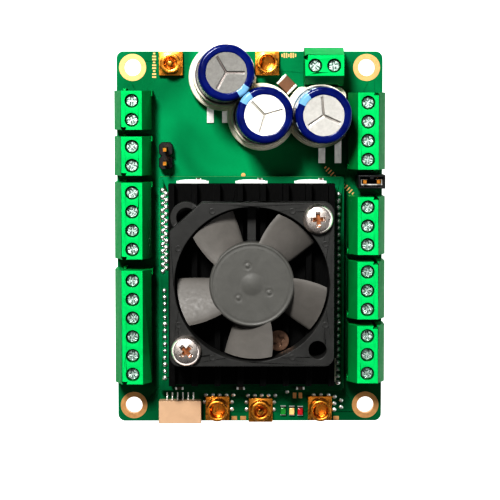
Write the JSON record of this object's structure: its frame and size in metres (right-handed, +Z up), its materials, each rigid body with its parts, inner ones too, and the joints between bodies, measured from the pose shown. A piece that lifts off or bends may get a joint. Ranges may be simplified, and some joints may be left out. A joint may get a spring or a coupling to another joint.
{
  "type": "motor driver module",
  "caption": "Green motor driver board with finned heatsink and square cooling fan, blue-sleeved capacitors, green screw terminals on both sides and gold power contacts.",
  "frame": {"origin": "centre of the four mounting holes, on the underside of the carrier board", "axes": "+Z up out of the board on the component side, +Y along the board's length towards the capacitors, +X to the right"},
  "size_m": [0.0504, 0.0716, 0.0197],
  "materials": {
    "pcb_green": "green solder mask over glass laminate",
    "gold_plate": "gold plate",
    "tinned_metal": "tin plate",
    "solder": "bright solder",
    "black_plastic": "moulded, fine grain",
    "chip_black": "moulded epoxy",
    "ceramic_tan": "fired ceramic",
    "pad_white": "soft silicone",
    "black_anodised": "black anodised, satin",
    "fan_plastic": "moulded glass-filled plastic",
    "magnet_grey": "bonded ferrite",
    "steel": "ground",
    "bronze": "sintered",
    "winding": "enamelled copper wire",
    "circuit_green": "solder mask",
    "nickel_steel": "nickel plate",
    "can_aluminium": "drawn, satin",
    "sleeve_blue": "shrunk sleeve, gloss",
    "cream_plastic": "moulded",
    "holder_white": "moulded",
    "chip_brown": "fired ceramic, semi-gloss",
    "terminal_green": "moulded polyamide, semi-gloss",
    "terminal_steel": "zinc plate",
    "lens_green": "clear epoxy",
    "lens_amber": "clear epoxy",
    "lens_red": "clear epoxy"
  },
  "bodies": {
    "board": {"carrier_board": "pcb_green", "hole_plating": "gold_plate", "module_board": "pcb_green", "module_headers": "black_plastic", "module_pins": "tinned_metal", "module_solder": "solder", "power_transistors": "chip_black", "module_chips": "chip_black", "module_capacitors": "ceramic_tan", "thermal_pads": "pad_white", "heatsink": "black_anodised", "heatsink_screws": "nickel_steel", "fan_frame": "fan_plastic", "fan_bearing": "bronze", "fan_stator": "steel", "fan_coils": "winding", "fan_circuit": "circuit_green", "fan_screws": "nickel_steel", "capacitor_holder": "holder_white", "capacitor_leads": "tinned_metal", "chip_capacitor": "chip_brown", "terminal_screws": "terminal_steel", "terminal_clamps": "terminal_steel", "terminal_contacts": "tinned_metal", "pin_contacts": "gold_plate", "socket_contacts": "gold_plate", "signal_connector": "cream_plastic", "signal_pins": "tinned_metal", "header_bodies": "black_plastic", "header_pins": "gold_plate", "led_green": "lens_green", "led_amber": "lens_amber", "led_red": "lens_red", "capacitor_can_1": "can_aluminium", "capacitor_sleeve_1": "sleeve_blue", "capacitor_can_2": "can_aluminium", "capacitor_sleeve_2": "sleeve_blue", "capacitor_can_3": "can_aluminium", "capacitor_sleeve_3": "sleeve_blue", "terminal_block_left_1": "terminal_green", "terminal_block_right_1": "terminal_green", "terminal_block_left_2": "terminal_green", "terminal_block_right_2": "terminal_green", "terminal_block_left_3": "terminal_green", "terminal_block_right_3": "terminal_green", "terminal_block_left_4": "terminal_green", "terminal_block_right_4": "terminal_green", "terminal_block_top": "terminal_green"},
    "fan_rotor_body": {"fan_rotor": "fan_plastic", "fan_magnet": "magnet_grey", "fan_shaft": "steel"},
    "jumper": {"jumper_cap": "black_plastic", "jumper_clip": "tinned_metal"},
    "top_screw_1": {"top_terminal_screw_1": "terminal_steel"},
    "top_screw_2": {"top_terminal_screw_2": "terminal_steel"},
    "top_clamp_1": {"top_terminal_clamp_1": "terminal_steel"},
    "top_clamp_2": {"top_terminal_clamp_2": "terminal_steel"}
  },
  "joints": [
    {"name": "fan_spin", "type": "hinge", "parent": "board", "child": "fan_rotor_body", "pos_m": [0.0003, -0.0077, 0.0102], "axis": [0, 0, 1], "continuous": true},
    {"name": "jumper_pull", "type": "slide", "parent": "board", "child": "jumper", "axis": [0, 0, 1], "range_m": [0, 0.009]},
    {"name": "top_screw_turn_1", "type": "hinge", "parent": "board", "child": "top_screw_1", "pos_m": [0.012, 0.0322, 0.0083], "axis": [0, 0, -1], "range_deg": [0, 1081]},
    {"name": "top_clamp_lift_1", "type": "slide", "parent": "board", "child": "top_clamp_1", "axis": [0, 0, 1], "range_m": [0, 0.00105]},
    {"name": "top_screw_turn_2", "type": "hinge", "parent": "board", "child": "top_screw_2", "pos_m": [0.0155, 0.0322, 0.0083], "axis": [0, 0, -1], "range_deg": [0, 1081]},
    {"name": "top_clamp_lift_2", "type": "slide", "parent": "board", "child": "top_clamp_2", "axis": [0, 0, 1], "range_m": [0, 0.00105]}
  ],
  "couplings": [
    {"joint": "top_screw_turn_1", "follows": "top_clamp_lift_1", "rad_per_m": 17952},
    {"joint": "top_screw_turn_2", "follows": "top_clamp_lift_2", "rad_per_m": 17952}
  ]
}
